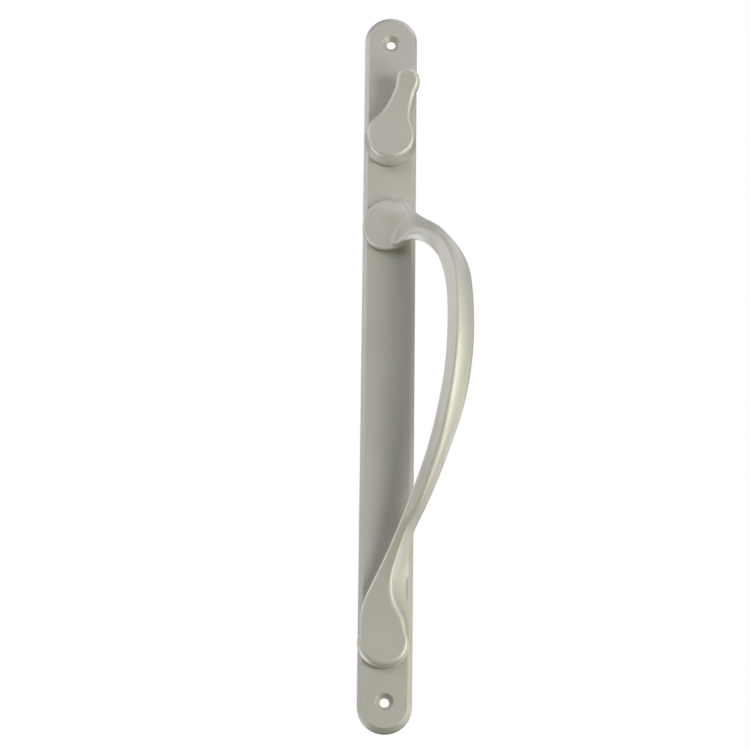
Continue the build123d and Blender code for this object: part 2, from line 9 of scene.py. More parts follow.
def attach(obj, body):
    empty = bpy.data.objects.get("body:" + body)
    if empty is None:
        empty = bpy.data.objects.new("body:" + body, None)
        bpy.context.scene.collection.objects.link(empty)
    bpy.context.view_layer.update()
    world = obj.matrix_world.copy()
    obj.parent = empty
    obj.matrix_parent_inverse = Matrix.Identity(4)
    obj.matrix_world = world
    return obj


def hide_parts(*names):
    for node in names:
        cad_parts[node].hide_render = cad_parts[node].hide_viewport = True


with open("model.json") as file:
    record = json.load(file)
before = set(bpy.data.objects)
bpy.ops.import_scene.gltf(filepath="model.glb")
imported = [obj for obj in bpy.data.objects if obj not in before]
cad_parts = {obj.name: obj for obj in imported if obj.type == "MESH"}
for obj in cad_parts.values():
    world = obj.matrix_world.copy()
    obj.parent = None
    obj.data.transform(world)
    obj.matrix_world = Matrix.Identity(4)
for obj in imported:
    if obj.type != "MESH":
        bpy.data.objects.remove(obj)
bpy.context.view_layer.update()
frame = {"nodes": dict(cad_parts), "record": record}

MM = 0.001

# ---------------------------------------------------------------------------
# Camera: below the middle of the handle, looking up at it. It comes first.
# ---------------------------------------------------------------------------
CAM_AZ, CAM_EL, CAM_ROLL = math.radians(-0.2999), math.radians(-16.6881), math.radians(0.6628)
CAM_TARGET, CAM_DISTANCE = Vector((-6.5663, 0.0, -5.5524)) * MM, 1452.76 * MM


def make_camera():
    back = Vector((math.sin(CAM_AZ) * math.cos(CAM_EL), -math.cos(CAM_AZ) * math.cos(CAM_EL), math.sin(CAM_EL)))
    right = (-back).cross(Vector((0, 0, 1))).normalized()
    up = right.cross(-back)
    x = math.cos(CAM_ROLL) * right + math.sin(CAM_ROLL) * up
    y = -math.sin(CAM_ROLL) * right + math.cos(CAM_ROLL) * up
    data = bpy.data.cameras.new("camera")
    data.sensor_width, data.lens = 36.0, 134.4
    data.clip_start, data.clip_end = 0.05, 60.0
    camera = bpy.data.objects.new("camera", data)
    bpy.context.scene.collection.objects.link(camera)
    m = Matrix((x, y, back)).transposed().to_4x4()
    m.translation = CAM_TARGET + back * CAM_DISTANCE
    camera.matrix_world = m
    bpy.context.scene.camera = camera


make_camera()

# ---------------------------------------------------------------------------
# Small numeric helpers. All shapes are worked out in millimetres, p = -y.
# ---------------------------------------------------------------------------


def rmax(a, b, r):
    """corner where both hold, rounded to radius r"""
    return np.minimum(np.maximum(a + r, b + r), 0.0) + np.hypot(np.maximum(a + r, 0.0), np.maximum(b + r, 0.0)) - r


def rmin(a, b, r):
    """union with a fillet of radius r"""
    return -rmax(-a, -b, r)


def ramp(x, a, b):
    t = np.clip((x - a) / (b - a), 0.0, 1.0)
    return t * t * (3 - 2 * t)


def spline(t, y, q):
    """natural cubic spline through y at t, taken at q"""
    t, y = np.asarray(t, float), np.asarray(y, float)
    n, h = len(t), np.diff(t)
    a, b = np.zeros((n, n)), np.zeros(y.shape)
    a[0, 0] = a[-1, -1] = 1.0
    for i in range(1, n - 1):
        a[i, i - 1 : i + 2] = h[i - 1], 2 * (h[i - 1] + h[i]), h[i]
        b[i] = 6 * ((y[i + 1] - y[i]) / h[i] - (y[i] - y[i - 1]) / h[i - 1])
    m = np.linalg.solve(a, b.reshape(n, -1)).reshape(y.shape)
    k = np.clip(np.searchsorted(t, q) - 1, 0, n - 2)
    shape = (-1,) + (1,) * (y.ndim - 1)
    u, v, hk = (q - t[k]).reshape(shape), (t[k + 1] - q).reshape(shape), h[k].reshape(shape)
    return (
        (m[k] * v**3 + m[k + 1] * u**3) / (6 * hk)
        + (y[k] / hk - m[k] * hk / 6) * v
        + (y[k + 1] / hk - m[k + 1] * hk / 6) * u
    )


def in_chunks(field, points, size=200000):
    return np.concatenate([field(points[i : i + size]) for i in range(0, len(points), size)])


def contour(field, low, high, h, block=8, reach=1.25):
    """Quads on the zero surface of a distance field, by dual contouring: every vertex is placed where the
    tangent planes round it meet, so that edges stay edges."""
    low = np.asarray(low, float)
    nb = np.ceil((np.asarray(high, float) - low) / (h * block)).astype(int)
    n = nb * block + 1
    size = h * block
    middles = [low[i] + (np.arange(nb[i]) + 0.5) * size for i in range(3)]
    grid = np.stack(np.meshgrid(*middles, indexing="ij"), -1).reshape(-1, 3)
    coarse = in_chunks(field, grid).reshape(nb)
    near = np.abs(coarse) < size * 0.87 * reach
    full = np.full(n, 1.0, np.float32)
    big = np.repeat(np.repeat(np.repeat(coarse, block, 0), block, 1), block, 2)
    full[:-1, :-1, :-1] = big
    full[-1], full[:, -1], full[:, :, -1] = full[-2], full[:, -2], full[:, :, -2]
    mask = np.zeros(n, bool)
    wide = np.repeat(np.repeat(np.repeat(near, block, 0), block, 1), block, 2)
    for di in (0, 1):
        for dj in (0, 1):
            for dk in (0, 1):
                mask[di : n[0] - 1 + di, dj : n[1] - 1 + dj, dk : n[2] - 1 + dk] |= wide
    index = np.argwhere(mask)
    full[mask] = in_chunks(field, low + index * h)
    inside = full < 0
    cells, hits, normals, quads = [], [], [], []
    stride = np.array([n[1] * n[2], n[2], 1])
    for axis in range(3):
        b, c = (axis + 1) % 3, (axis + 2) % 3
        first = [slice(None)] * 3
        second = [slice(None)] * 3
        first[axis], second[axis] = slice(0, -1), slice(1, None)
        cross = inside[tuple(first)] != inside[tuple(second)]
        for other in (b, c):
            edge = [slice(None)] * 3
            edge[other] = [0, -1]
            cross[tuple(edge)] = False
        at = np.argwhere(cross)
        step = np.zeros(3, int)
        step[axis] = 1
        f0 = full[tuple(at.T)].astype(float)
        f1 = full[tuple((at + step).T)].astype(float)
        t0, t1 = np.zeros(len(at)), np.ones(len(at))
        t = f0 / (f0 - f1)
        for _ in range(2):
            f = in_chunks(field, low + (at + t[:, None] * step) * h)
            left = (f < 0) == (f0 < 0)
            t0, t1 = np.where(left, t, t0), np.where(left, t1, t)
            f0, f1 = np.where(left, f, f0), np.where(left, f1, f)
            t = t0 + (t1 - t0) * np.clip(f0 / np.where(f0 == f1, 1e-9, f0 - f1), 0.02, 0.98)
        p = low + (at + t[:, None] * step) * h
        g = np.empty_like(p)
        eps = 0.12 * h
        for k in range(3):
            off = np.zeros(3)
            off[k] = eps
            g[:, k] = in_chunks(field, p + off) - in_chunks(field, p - off)
        g /= np.maximum(np.linalg.norm(g, axis=1), 1e-9)[:, None]
        around = []
        for db, dc in ((0, 0), (1, 0), (1, 1), (0, 1)):
            cell = at.copy()
            cell[:, b] -= db
            cell[:, c] -= dc
            ids = cell @ stride
            around.append(ids)
            cells.append(ids)
            hits.append(p)
            normals.append(g)
        around = np.stack(around, 1)
        rising = ~inside[tuple(at.T)]
        around[rising] = around[rising][:, ::-1]
        quads.append(around)
    cells, hits, normals, quads = map(np.concatenate, (cells, hits, normals, quads))
    ids, back = np.unique(cells, return_inverse=True)
    count = np.bincount(back)
    mean = np.stack([np.bincount(back, hits[:, k]) for k in range(3)], 1) / count[:, None]
    a = np.zeros((len(ids), 3, 3))
    rhs = np.zeros((len(ids), 3))
    dist = (normals * (hits - mean[back])).sum(1)
    for i in range(3):
        rhs[:, i] = np.bincount(back, normals[:, i] * dist)
        for j in range(i, 3):
            a[:, i, j] = a[:, j, i] = np.bincount(back, normals[:, i] * normals[:, j])
    a += np.eye(3) * 0.08 * count[:, None, None]
    place = mean + np.linalg.solve(a, rhs[..., None])[..., 0]
    corner = low + np.stack([ids // stride[0], (ids // stride[1]) % n[1], ids % n[2]], 1) * h
    place = np.clip(place, corner - 0.05 * h, corner + 1.05 * h)
    # relax along the surface, then back onto it
    faces = np.searchsorted(ids, quads)
    for _ in range(2):
        total = np.zeros_like(place)
        number = np.zeros(len(place))
        for i in range(4):
            for j in ((i + 1) % 4, (i + 3) % 4):
                for k in range(3):
                    total[:, k] += np.bincount(faces[:, i], place[faces[:, j], k], len(place))
                number += np.bincount(faces[:, i], minlength=len(place))
        shift = total / number[:, None] - place
        grad = gradient(field, place, 0.12 * h)
        shift -= grad * (shift * grad).sum(1)[:, None]
        sharp = sharpness(field, place, grad, h)
        place = place + shift * (0.5 * (1 - sharp))[:, None]
        place -= gradient(field, place, 0.12 * h) * np.clip(in_chunks(field, place), -0.3 * h, 0.3 * h)[:, None] * (1 - sharp)[:, None]
    return place, faces


def gradient(field, p, eps):
    g = np.empty_like(p)
    for k in range(3):
        off = np.zeros(3)
        off[k] = eps
        g[:, k] = in_chunks(field, p + off) - in_chunks(field, p - off)
    return g / np.maximum(np.linalg.norm(g, axis=1), 1e-9)[:, None]


def sharpness(field, p, grad, h):
    """1 on an edge, 0 on a smooth part"""
    worst = np.zeros(len(p))
    side = np.cross(grad, [0.31, 0.52, 0.79])
    side /= np.maximum(np.linalg.norm(side, axis=1), 1e-9)[:, None]
    other = np.cross(grad, side)
    for d in (side, -side, other, -other):
        near = gradient(field, p + d * 0.7 * h, 0.12 * h)
        worst = np.maximum(worst, 1 - (near * grad).sum(1))
    return np.clip((worst - 0.04) / 0.1, 0.0, 1.0)


def mesh_piece(name, points, faces, crease=38.0):
    mesh = bpy.data.meshes.new(name)
    mesh.from_pydata((np.asarray(points) * MM).tolist(), [], [tuple(f) for f in faces])
    mesh.validate()
    mesh.polygons.foreach_set("use_smooth", np.ones(len(mesh.polygons), bool))
    mesh.set_sharp_from_angle(angle=math.radians(crease))
    mesh.update()
    mark_edge_highlight(mesh)
    piece = bpy.data.objects.new(name, mesh)
    bpy.context.scene.collection.objects.link(piece)
    return piece


def mark_edge_highlight(mesh):
    """how convex the surface is round each vertex, smoothed, to paint a highlight on the convex edges"""
    n = len(mesh.vertices)
    at, out, pair = np.empty(n * 3, np.float32), np.empty(n * 3, np.float32), np.empty(len(mesh.edges) * 2, np.int32)
    mesh.vertices.foreach_get("co", at)
    mesh.vertices.foreach_get("normal", out)
    mesh.edges.foreach_get("vertices", pair)
    at, out, pair = at.reshape(-1, 3), out.reshape(-1, 3), pair.reshape(-1, 2)
    i, j = np.concatenate([pair[:, 0], pair[:, 1]]), np.concatenate([pair[:, 1], pair[:, 0]])
    count = np.maximum(np.bincount(i, minlength=n), 1)
    step = (at[j] - at[i]) / MM
    far = np.maximum(np.linalg.norm(step, axis=1), 0.15)
    bend = np.bincount(i, weights=-(step * out[i]).sum(1) / far**2, minlength=n) / count
    for _ in range(4):
        bend = 0.4 * bend + 0.6 * np.bincount(i, weights=bend[j], minlength=n) / count
    bend *= ramp(-at[:, 1] / MM, PLATE_T + 0.3, PLATE_T + 1.2)  # not where a piece meets the plate
    # this convexity drives a painted highlight: convex edges are painted lighter
    mesh.attributes.new("painted_edge_highlight", "FLOAT", "POINT").data.foreach_set("value", np.clip(bend, -1, 1).astype(np.float32))


# ---------------------------------------------------------------------------
# Pull handle: the sections of the CAD, on one smooth sweep, with round
# feet, fillets where the neck grows out of the top foot and a cove at the
# bottom one.
# ---------------------------------------------------------------------------
# x, y, z of the middle; width of the front facet; depth of the outer face; turn of the facet;
# corner radii L R Q B; bulges of the sides L-R, R-Q, Q-B, B-L
GRIP = [
    (0.9, -7.5, 73.0, 22.6, 4.0, -4, (1.0, 1.8, 1.8, 1.5), (0.0, 0.2, 0.4, 0.2)),
    (7.7, -12.1, 71.8, 20.4, 5.4, 2.5, (1.2, 3.6, 2.6, 1.8), (-0.3, 0.3, 0.4, 0.3)),
    (13.5, -17.6, 69.3, 14.1, 6.4, 4.0, (1.7, 3.4, 3.0, 2.6), (0.3, 0.4, 0.5, 0.4)),
    (18.8, -22.6, 65.9, 11.5, 7.0, 8.6, (2.4, 3.0, 3.2, 3.2), (0.7, 0.5, 0.6, 0.5)),
    (23.3, -27.3, 61.5, 10.3, 8.0, 20, (2.6, 2.6, 3.4, 3.6), (0.4, 0.5, 0.6, 0.5)),
    (28.3, -31.7, 54.8, 10.3, 9.4, 38, (2.7, 2.2, 3.6, 3.8), (0.2, 0.5, 0.7, 0.5)),
    (32.4, -35.2, 47.1, 10.4, 11.8, 48, (2.6, 1.9, 3.7, 4.0), (0.0, 0.5, 0.8, 0.5)),
    (35.4, -37.9, 37.5, 10.0, 13.3, 53, (2.4, 1.8, 3.8, 4.0), (-0.1, 0.5, 0.8, 0.5)),
    (36.7, -39.3, 25.9, 9.6, 13.6, 55, (2.4, 1.8, 3.8, 4.0), (-0.1, 0.5, 0.8, 0.5)),
    (37.1, -39.7, 11.9, 9.6, 13.8, 55, (2.3, 1.8, 3.8, 4.0), (-0.1, 0.5, 0.8, 0.5)),
    (36.6, -39.2, -2.8, 9.5, 13.7, 55, (2.2, 1.8, 3.8, 4.0), (-0.1, 0.5, 0.8, 0.5)),
    (34.9, -37.7, -18.5, 9.2, 13.5, 54, (2.0, 1.8, 3.8, 3.9), (-0.1, 0.5, 0.8, 0.5)),
    (32.0, -35.2, -33.2, 9.1, 12.8, 50, (1.8, 1.8, 3.6, 3.7), (-0.1, 0.5, 0.7, 0.4)),
    (27.9, -31.3, -47.7, 8.7, 11.2, 44.5, (1.5, 2.0, 3.3, 3.4), (-0.1, 0.5, 0.6, 0.4)),
    (22.8, -26.7, -62.3, 8.1, 10.2, 36, (1.3, 2.4, 3.0, 3.0), (-0.05, 0.4, 0.5, 0.3)),
    (16.8, -21.5, -76.6, 7.9, 9.0, 28, (1.3, 2.4, 2.6, 2.6), (0.0, 0.2, 0.4, 0.2)),
]
# level cuts through the foot end: z, then (x, p) of L R Q B, radii and bulges
ROOT = [
    (-91.4, (4.8, 18.9), (10.9, 20.1), (15.8, 12.6), (9.0, 10.0), (1.3, 2.2, 2.4, 2.0), (0.0, 0.1, 0.3, 0.1)),
    (-104.2, (-1.2, 15.3), (5.9, 15.9), (13.4, 7.6), (4.0, 7.2), (1.3, 2.4, 2.0, 1.4), (0.0, -0.3, 0.1, 0.1)),
    (-115.2, (-5.9, 13.1), (2.7, 13.5), (15.6, 3.4), (-3.2, 3.2), (1.4, 3.6, 1.4, 1.0), (0.0, -0.6, 0.0, 0.0)),
    (-124.5, (-10.0, 12.1), (2.8, 12.5), (16.8, 3.2), (-9.6, 2.6), (1.4, 6.0, 1.2, 0.8), (0.0, -0.5, 0.0, 0.0)),
    (-131.0, (-12.2, 11.7), (5.4, 12.0), (16.8, 3.2), (-12.5, 2.4), (1.3, 7.0, 1.2, 0.7), (0.0, -0.3, 0.0, 0.0)),
    (-136.5, (-13.1, 11.6), (8.8, 11.7), (15.0, 2.8), (-13.5, 2.4), (1.2, 4.5, 1.1, 0.6), (0.0, -0.3, 0.0, 0.2)),
    (-141.5, (-12.6, 11.5), (10.1, 11.5), (13.0, 2.6), (-13.9, 2.4), (1.0, 2.0, 1.0, 0.6), (0.0, 0.0, 0.0, 0.4)),
    (-147.7, (-12.1, 11.5), (10.6, 11.5), (12.6, 2.4), (-14.0, 2.4), (0.9, 0.9, 0.8, 0.5), (0.0, 0.3, 0.0, 0.5)),
]
FOOT_X, TOP_FOOT_Z, LOW_FOOT_Z = -0.7, 73.2, -147.7
TOP_FOOT_R, LOW_FOOT_R, FOOT_P = 13.4, 13.4, 11.5
PLATE_W, PLATE_L, PLATE_T = 27.7, 386.4, 6.5


def grip_table():
    """stations along the grip: middle, right, ahead, corners, radii, bulges"""
    mids = [Vector(g[:3]) for g in GRIP] + [Vector((11.0, -15.8, -91.4))]
    rows = []
    for i, g in enumerate(GRIP):
        if i == 0:
            along = Vector((0.80, -0.60, 0.0))
        else:
            before, after = mids[i] - mids[i - 1], mids[i + 1] - mids[i]
            along = before * (after.length / before.length) + after * (before.length / after.length)
        along.normalize()
        ahead = Vector((0, -1, 0))
        ahead = (ahead - along * ahead.dot(along)).normalized()
        right = ahead.cross(along)
        c, s, a, b = math.cos(math.radians(g[5])), math.sin(math.radians(g[5])), g[3] / 2, g[4] / 2
        corners = [(k * a * c - j * b * s, k * a * s + j * b * c) for k, j in ((-1, 1), (1, 1), (1, -1), (-1, -1))]
        rows.append((mids[i], right, ahead, corners, g[6], g[7]))
    for z, l, r, q, b, radii, bulges in ROOT:
        cx, cp = sum(c[0] for c in (l, r, q, b)) / 4, sum(c[1] for c in (l, r, q, b)) / 4
        corners = [(c[0] - cx, c[1] - cp) for c in (l, r, q, b)]
        rows.append((Vector((cx, -cp, z)), Vector((1, 0, 0)), Vector((0, -1, 0)), corners, radii, bulges))
    return rows


def unit(v):
    return v / np.maximum(np.linalg.norm(v, axis=-1), 1e-12)[..., None]


def outlines(corners, radii, bulges, steps=48):
    """the four-cornered outlines of many sections at once, as closed runs of points"""
    before, after = np.roll(corners, 1, 1), np.roll(corners, -1, 1)
    u, v = unit(before - corners), unit(after - corners)
    angle = np.arccos(np.clip((u * v).sum(-1), -1, 1))
    d = radii / np.tan(angle / 2)
    d = np.minimum(np.minimum(d, 0.45 * np.linalg.norm(before - corners, axis=-1)), 0.45 * np.linalg.norm(after - corners, axis=-1))
    starts, ends = corners + u * d[..., None], corners + v * d[..., None]
    following = np.roll(starts, -1, 1)
    length = np.linalg.norm(following - ends, axis=-1)
    side = (following - ends) / length[..., None]
    out = np.stack([-side[..., 1], side[..., 0]], -1)
    sine = np.clip(4 * bulges / length, -0.8, 0.8)[..., None]
    cosine = np.sqrt(1 - sine**2)
    leave = side * cosine + out * sine
    arrive = np.roll(side * cosine - out * sine, 1, 1)
    t = (np.arange(steps) / steps)[:, None]
    runs = []
    for i in range(4):
        a, b, ta, tb = starts[:, i], ends[:, i], arrive[:, i], leave[:, i]
        turn = np.arccos(np.clip((ta * tb).sum(-1), -1, 1))
        h = (np.linalg.norm(b - a, axis=-1) / (3 * np.cos(turn / 4) ** 2))[:, None]
        for p0, p1, p2, p3 in (
            (a, a + ta * h, b - tb * h, b),
            (b, b + tb * length[:, i, None] / 3, following[:, i] - arrive[:, (i + 1) % 4] * length[:, i, None] / 3, following[:, i]),
        ):
            p0, p1, p2, p3 = (q[:, None, :] for q in (p0, p1, p2, p3))
            runs.append(p0 * (1 - t) ** 3 + 3 * p1 * t * (1 - t) ** 2 + 3 * p2 * t**2 * (1 - t) + p3 * t**3)
    return np.concatenate(runs, 1)


class Sweep:
    """distance to a bar that changes its section on the way"""

    def __init__(self, rows, stations=900, spokes=720):
        where = np.array([list(r[0]) for r in rows])
        at = np.concatenate([[0], np.cumsum(np.linalg.norm(np.diff(where, axis=0), axis=1))])
        q = np.linspace(0, at[-1], stations)
        take = lambda values: spline(at, np.array(values, float), q)
        self.o = take([list(r[0]) for r in rows])
        self.x = unit(take([list(r[1]) for r in rows]))
        y = take([list(r[2]) for r in rows])
        self.y = unit(y - self.x * (y * self.x).sum(-1)[:, None])
        self.n = np.cross(self.x, self.y)
        self.g = np.gradient(self.o, axis=0)
        flip = (self.g * self.n).sum(-1) < 0
        self.n[flip] *= -1
        shape = outlines(take([r[3] for r in rows]), np.maximum(take([r[4] for r in rows]), 0.3), take([r[5] for r in rows]))
        middle = shape.mean(1)
        self.o = self.o + self.x * middle[:, :1] + self.y * middle[:, 1:]
        shape = shape - middle[:, None]
        self.g = np.gradient(self.o, axis=0)
        theta = np.arange(spokes) / spokes * 2 * np.pi
        self.r = np.empty((stations, spokes))
        for k in range(stations):
            angle = np.arctan2(shape[k, :, 1], shape[k, :, 0]) % (2 * np.pi)
            order = np.argsort(angle)
            self.r[k] = 1 / np.interp(theta, angle[order], 1 / np.linalg.norm(shape[k], axis=1)[order], period=2 * np.pi)
        slope = (np.roll(self.r, -1, 1) - np.roll(self.r, 1, 1)) / (4 * np.pi / spokes)
        self.c = 1 / np.sqrt(1 + (slope / self.r) ** 2)
        self.spokes, self.last = spokes, stations - 1

    def at(self, values, t):
        i = np.clip(t.astype(int), 0, self.last - 1)
        w = (t - i)[:, None]
        return values[i] * (1 - w) + values[i + 1] * w

    def __call__(self, p):
        few = self.o[::12]
        near = ((p[:, None, :] - few[None]) ** 2).sum(-1).argmin(1) * 12.0
        t = np.clip(near, 0, self.last)
        for _ in range(4):
            o, n, g = self.at(self.o, t), self.at(self.n, t), self.at(self.g, t)
            f = ((p - o) * n).sum(-1)
            t = np.clip(t + f / np.maximum((g * n).sum(-1), 0.02), 0, self.last)
        o, x, y, n = self.at(self.o, t), self.at(self.x, t), self.at(self.y, t), self.at(self.n, t)
        d = p - o
        u, v, f = (d * x).sum(-1), (d * y).sum(-1), (d * n).sum(-1)
        rho = np.hypot(u, v)
        s = (np.arctan2(v, u) % (2 * np.pi)) * (self.spokes / (2 * np.pi))
        j = s.astype(int) % self.spokes
        w = s - np.floor(s)
        k = (j + 1) % self.spokes
        i = np.clip(t.astype(int), 0, self.last - 1)
        e = t - i
        r = (self.r[i, j] * (1 - w) + self.r[i, k] * w) * (1 - e) + (self.r[i + 1, j] * (1 - w) + self.r[i + 1, k] * w) * e
        c = self.c[i, j] * (1 - e) + self.c[i + 1, j] * e
        side = (rho - r) * c
        end = np.where(t >= self.last, f, np.where(t <= 0, -f, -9.0))
        return np.maximum(side, end)


sweep = Sweep(grip_table())


def disc(p, x, z, radius, top, rim, bevel=0.0, bevel_deep=0.0, soft=0.5):
    rho = np.hypot(p[:, 0] - x, p[:, 2] - z)
    ahead = -p[:, 1]
    if not bevel:
        return rmax(rho - radius, ahead - top, rim)
    n = math.hypot(bevel, bevel_deep)
    slant = ((rho - radius) * bevel_deep + (ahead - top + bevel_deep) * bevel) / n
    return rmax(rmax(rho - radius, slant, soft), ahead - top, rim)


def handle_field(p):
    x, ahead, z = p[:, 0], -p[:, 1], p[:, 2]
    bar = sweep(p)
    top = disc(p, FOOT_X, TOP_FOOT_Z, TOP_FOOT_R, FOOT_P, 0.7 + 3.3 * ramp(x, -1.5, 4.5) * ramp(z, 74.0, 80.0))
    low = disc(p, FOOT_X, LOW_FOOT_Z, LOW_FOOT_R, FOOT_P, 0.6, 1.9, 1.9, 0.6)
    blend = 0.8 + 6.0 * ramp(z, 69.0, 81.0)
    d = rmin(bar, top, blend)
    # over the neck the foot runs out into the plate in a wide fillet, instead of a rim
    wide = 6.5 * ramp(x, -2.5, 3.5) * (1 - ramp(x, 8.5, 12.5)) * ramp(z, 74.0, 79.0)
    d = np.where(wide > 0.3, rmin(d, ahead - PLATE_T + 0.06, np.maximum(wide, 0.3)), d)
    # the bar runs into the round end of its foot: one shape turns into the other over a few millimetres
    share = 1 - ramp(z, LOW_FOOT_Z + 0.4, LOW_FOOT_Z + 7.0)
    d = np.where(z < -100.0, bar * (1 - share) + low * share, d)
    d = rmax(d, PLATE_T - ahead, 0.15)
    for cz in (TOP_FOOT_Z, LOW_FOOT_Z):
        rho = np.hypot(x - FOOT_X, z - cz)
        spigot = np.maximum(np.maximum(rho - 4.8, 4.2 - ahead), ahead - 8.0)
        d = np.minimum(d, spigot)
        d = np.maximum(d, -np.maximum(rho - 2.52, ahead - 10.0))
    return d


handle = mesh_piece("pull_handle_cast", *contour(handle_field, (-15.6, -47.8, -162.4), (45.2, -3.4, 88.2), 0.5))
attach(handle, "trim")
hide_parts("pull_handle")

# ---------------------------------------------------------------------------
# Thumb turn
# ---------------------------------------------------------------------------
TURN_X, TURN_Z = 0.2, 120.7
TURN_BASE_R, TURN_FACE_R, TURN_BASE_P, TURN_FACE_P = 13.5, 12.3, 6.7, 18.5
LEVER_LEFT = [(-11.8, 120.7), (-11.8, 124.5), (-10.9, 127.9), (-8.0, 131.1), (-4.6, 134.8), (-2.3, 138.1), (-0.4, 141.5), (1.6, 145.7), (2.8, 148.9), (3.2, 151.6)]
LEVER_TIP = [(3.2, 151.6), (3.8, 154.6), (5.5, 156.6), (8.3, 157.3), (11.2, 156.9), (13.7, 155.0), (15.0, 151.6)]
LEVER_RIGHT = [(15.0, 151.6), (14.6, 149.2), (13.3, 146.1), (12.1, 142.1), (11.1, 137.8), (10.6, 133.2), (10.8, 128.1), (11.5, 124.4), (12.1, 120.6)]
LEVER_FRONT = [(132.1, 18.5), (138.6, 19.0), (146.1, 20.2), (153.6, 22.0), (160.1, 24.2)]
LEVER_UNDER = [(131.7, 6.7), (132.5, 7.4), (138.2, 10.6), (145.2, 13.8), (153.2, 16.6), (160.3, 17.8)]


def through(points, n=12):
    pts = np.array(points, float)
    at = np.concatenate([[0], np.cumsum(np.linalg.norm(np.diff(pts, axis=0), axis=1))])
    return spline(at, pts, np.linspace(0, at[-1], n * (len(pts) - 1) + 1))


class Flat:
    """distance to a flat outline, kept on a fine grid"""

    def __init__(self, outline, step=0.2, margin=9.0):
        low, high = outline.min(0) - margin, outline.max(0) + margin
        n = np.ceil((high - low) / step).astype(int) + 1
        gx, gy = np.meshgrid(low[0] + np.arange(n[0]) * step, low[1] + np.arange(n[1]) * step, indexing="ij")
        best, odd = np.full(gx.shape, 1e9), np.zeros(gx.shape, bool)
        for a, b in zip(outline, np.roll(outline, -1, 0)):
            e = b - a
            if (e @ e) < 1e-12:
                continue
            wx, wy = gx - a[0], gy - a[1]
            t = np.clip((wx * e[0] + wy * e[1]) / (e @ e), 0, 1)
            best = np.minimum(best, (wx - e[0] * t) ** 2 + (wy - e[1] * t) ** 2)
            if abs(e[1]) > 1e-12:
                odd ^= ((a[1] > gy) != (b[1] > gy)) & (gx < a[0] + e[0] * (gy - a[1]) / e[1])
        self.d = np.where(odd, -1, 1) * np.sqrt(best)
        self.low, self.step, self.n = low, step, n

    def __call__(self, x, y):
        u = np.clip((x - self.low[0]) / self.step, 0, self.n[0] - 1.001)
        v = np.clip((y - self.low[1]) / self.step, 0, self.n[1] - 1.001)
        i, j = u.astype(int), v.astype(int)
        a, b = u - i, v - j
        d = self.d
        return (d[i, j] * (1 - a) + d[i + 1, j] * a) * (1 - b) + (d[i, j + 1] * (1 - a) + d[i + 1, j + 1] * a) * b


lever_outline = Flat(np.concatenate([through(LEVER_LEFT)[:-1], through(LEVER_TIP)[:-1], through(LEVER_RIGHT), [(9.9, 114.0), (-9.4, 114.0)]]))


def turn_field(p):
    x, ahead, z = p[:, 0], -p[:, 1], p[:, 2]
    zf = np.array([r[0] for r in LEVER_FRONT])
    zu = np.array([r[0] for r in LEVER_UNDER])
    q = np.linspace(98, 166, 341)
    front = np.where(q < 132.1, 18.5, spline(zf, [r[1] for r in LEVER_FRONT], np.clip(q, 132.1, 166)))
    under = np.where(q < 131.7, 6.7, spline(zu, [r[1] for r in LEVER_UNDER], np.clip(q, 131.7, 166)))
    f, u = np.interp(z, q, front), np.interp(z, q, under)
    cf = 1 / np.sqrt(1 + np.interp(z, q, np.gradient(front, q)) ** 2)
    cu = 1 / np.sqrt(1 + np.interp(z, q, np.gradient(under, q)) ** 2)
    rho = np.hypot(x - TURN_X, z - TURN_Z)
    slope = (TURN_BASE_R - TURN_FACE_R) / (TURN_FACE_P - TURN_BASE_P)
    skirt = (rho - TURN_FACE_R - (TURN_FACE_P - ahead) * slope) / math.hypot(1, slope)
    arm = lever_outline(x, z) - (f - ahead) * slope * 0.6
    side = rmin(skirt, arm, 1.5)
    d = rmax(side, (ahead - f) * cf, 2.0)
    d = rmax(d, (u - ahead) * cu, 0.7)
    d = rmax(d, TURN_BASE_P - ahead, 0.3)
    # hollow round the hub, shoulder, journal and two-flat drive end with its groove and slot
    hollow = np.maximum(np.maximum(rho - 10.8, 6.5 - rho), ahead - 13.5)
    d = np.maximum(d, -hollow)
    hub = np.maximum(rho - 5.0, np.maximum(ahead - 12.0, 3.35 - ahead))
    hub = np.minimum(hub, np.maximum(rho - 6.5, np.maximum(ahead - 8.0, 6.62 - ahead)))
    drive = np.maximum(np.maximum(rho - 5.0, np.abs(x - TURN_X) - 4.2), np.maximum(ahead - 4.0, -5.0 - ahead))
    d = np.minimum(d, np.minimum(hub, drive))
    groove = np.maximum(np.abs(ahead + 0.25) - 0.37, 3.9 - rho)
    d = np.maximum(d, -groove)
    slot = np.maximum(np.maximum(np.abs(x - TURN_X) - 1.3, np.abs(z - TURN_Z) - 3.7), ahead - 8.0)
    d = np.maximum(d, -slot)
    pin = np.hypot(ahead + 2.9, z - TURN_Z) - 1.02
    return np.maximum(d, -np.maximum(pin, np.abs(x - TURN_X) - 8.0))


turn = mesh_piece("thumb_turn_cast", *contour(turn_field, (-14.8, -25.6, 106.0), (16.6, 6.0, 159.6), 0.34))
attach(turn, "turn")
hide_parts("thumb_turn")

# ---------------------------------------------------------------------------
# Escutcheon plate: rings for the bevelled edge, exact cuts for its hollows
# ---------------------------------------------------------------------------


